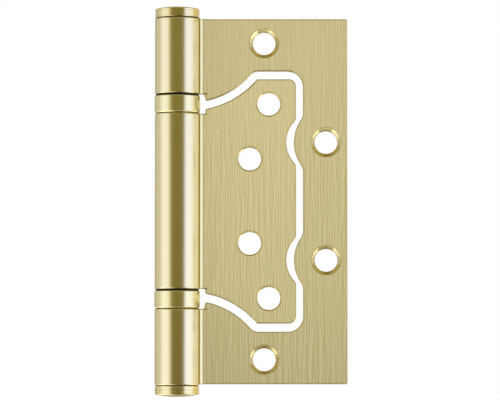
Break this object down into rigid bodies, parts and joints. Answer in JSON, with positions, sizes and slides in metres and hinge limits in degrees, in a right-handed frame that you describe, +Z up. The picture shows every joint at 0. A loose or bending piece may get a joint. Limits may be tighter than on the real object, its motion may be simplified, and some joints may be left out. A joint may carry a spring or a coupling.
{
  "type": "non-mortise hinge",
  "caption": "Non-mortise butterfly door hinge: the door leaf nests in the frame leaf's window and swings on a pin with thrust ball bearings between its knuckles.",
  "frame": {"origin": "on the frame leaf's back face, midway between its two side screw holes; the pin axis is 40.73 mm away towards -X and 1.25 mm towards -Y", "axes": "+Z up along the pin, +X from the pin to the frame leaf's free edge, +Y into the frame that the hinge is screwed to"},
  "size_m": [0.0528, 0.0125, 0.1068],
  "materials": {
    "outer_leaf": "steel sheet, satin brass plated, brushed along the pin",
    "inner_leaf": "steel sheet, satin brass plated, brushed along the pin",
    "cap_metal": "turned, satin brass",
    "bearing_shell": "turned, polished brass",
    "pin_steel": "ground",
    "race_steel": "ground",
    "ball_steel": "polished"
  },
  "bodies": {
    "frame_leaf": {"outer_leaf": "outer_leaf", "hinge_pin": "pin_steel", "top_cap": "cap_metal", "bottom_cap": "cap_metal", "upper_top_race": "race_steel", "lower_bottom_race": "race_steel", "lower_bearing_shell": "bearing_shell"},
    "door_leaf": {"inner_leaf": "inner_leaf", "upper_bottom_race": "race_steel", "upper_bearing_shell": "bearing_shell", "lower_top_race": "race_steel"},
    "upper_balls": {"upper_ball_01": "ball_steel", "upper_ball_02": "ball_steel", "upper_ball_03": "ball_steel", "upper_ball_04": "ball_steel", "upper_ball_05": "ball_steel", "upper_ball_06": "ball_steel", "upper_ball_07": "ball_steel", "upper_ball_08": "ball_steel", "upper_ball_09": "ball_steel", "upper_ball_10": "ball_steel", "upper_ball_11": "ball_steel", "upper_ball_12": "ball_steel", "upper_ball_13": "ball_steel", "upper_ball_14": "ball_steel"},
    "lower_balls": {"lower_ball_01": "ball_steel", "lower_ball_02": "ball_steel", "lower_ball_03": "ball_steel", "lower_ball_04": "ball_steel", "lower_ball_05": "ball_steel", "lower_ball_06": "ball_steel", "lower_ball_07": "ball_steel", "lower_ball_08": "ball_steel", "lower_ball_09": "ball_steel", "lower_ball_10": "ball_steel", "lower_ball_11": "ball_steel", "lower_ball_12": "ball_steel", "lower_ball_13": "ball_steel", "lower_ball_14": "ball_steel"}
  },
  "joints": [
    {"name": "leaf_swing", "type": "hinge", "parent": "frame_leaf", "child": "door_leaf", "pos_m": [-0.04073, -0.00125, 0], "axis": [0, 0, -1], "range_deg": [0, 180]},
    {"name": "upper_ball_orbit", "type": "hinge", "parent": "frame_leaf", "child": "upper_balls", "pos_m": [-0.04073, -0.00125, 0], "axis": [0, 0, -1], "range_deg": [0, 90]},
    {"name": "lower_ball_orbit", "type": "hinge", "parent": "frame_leaf", "child": "lower_balls", "pos_m": [-0.04073, -0.00125, 0], "axis": [0, 0, -1], "range_deg": [0, 90]}
  ],
  "couplings": [
    {"joint": "upper_ball_orbit", "follows": "leaf_swing", "ratio": 0.5},
    {"joint": "lower_ball_orbit", "follows": "leaf_swing", "ratio": 0.5}
  ]
}
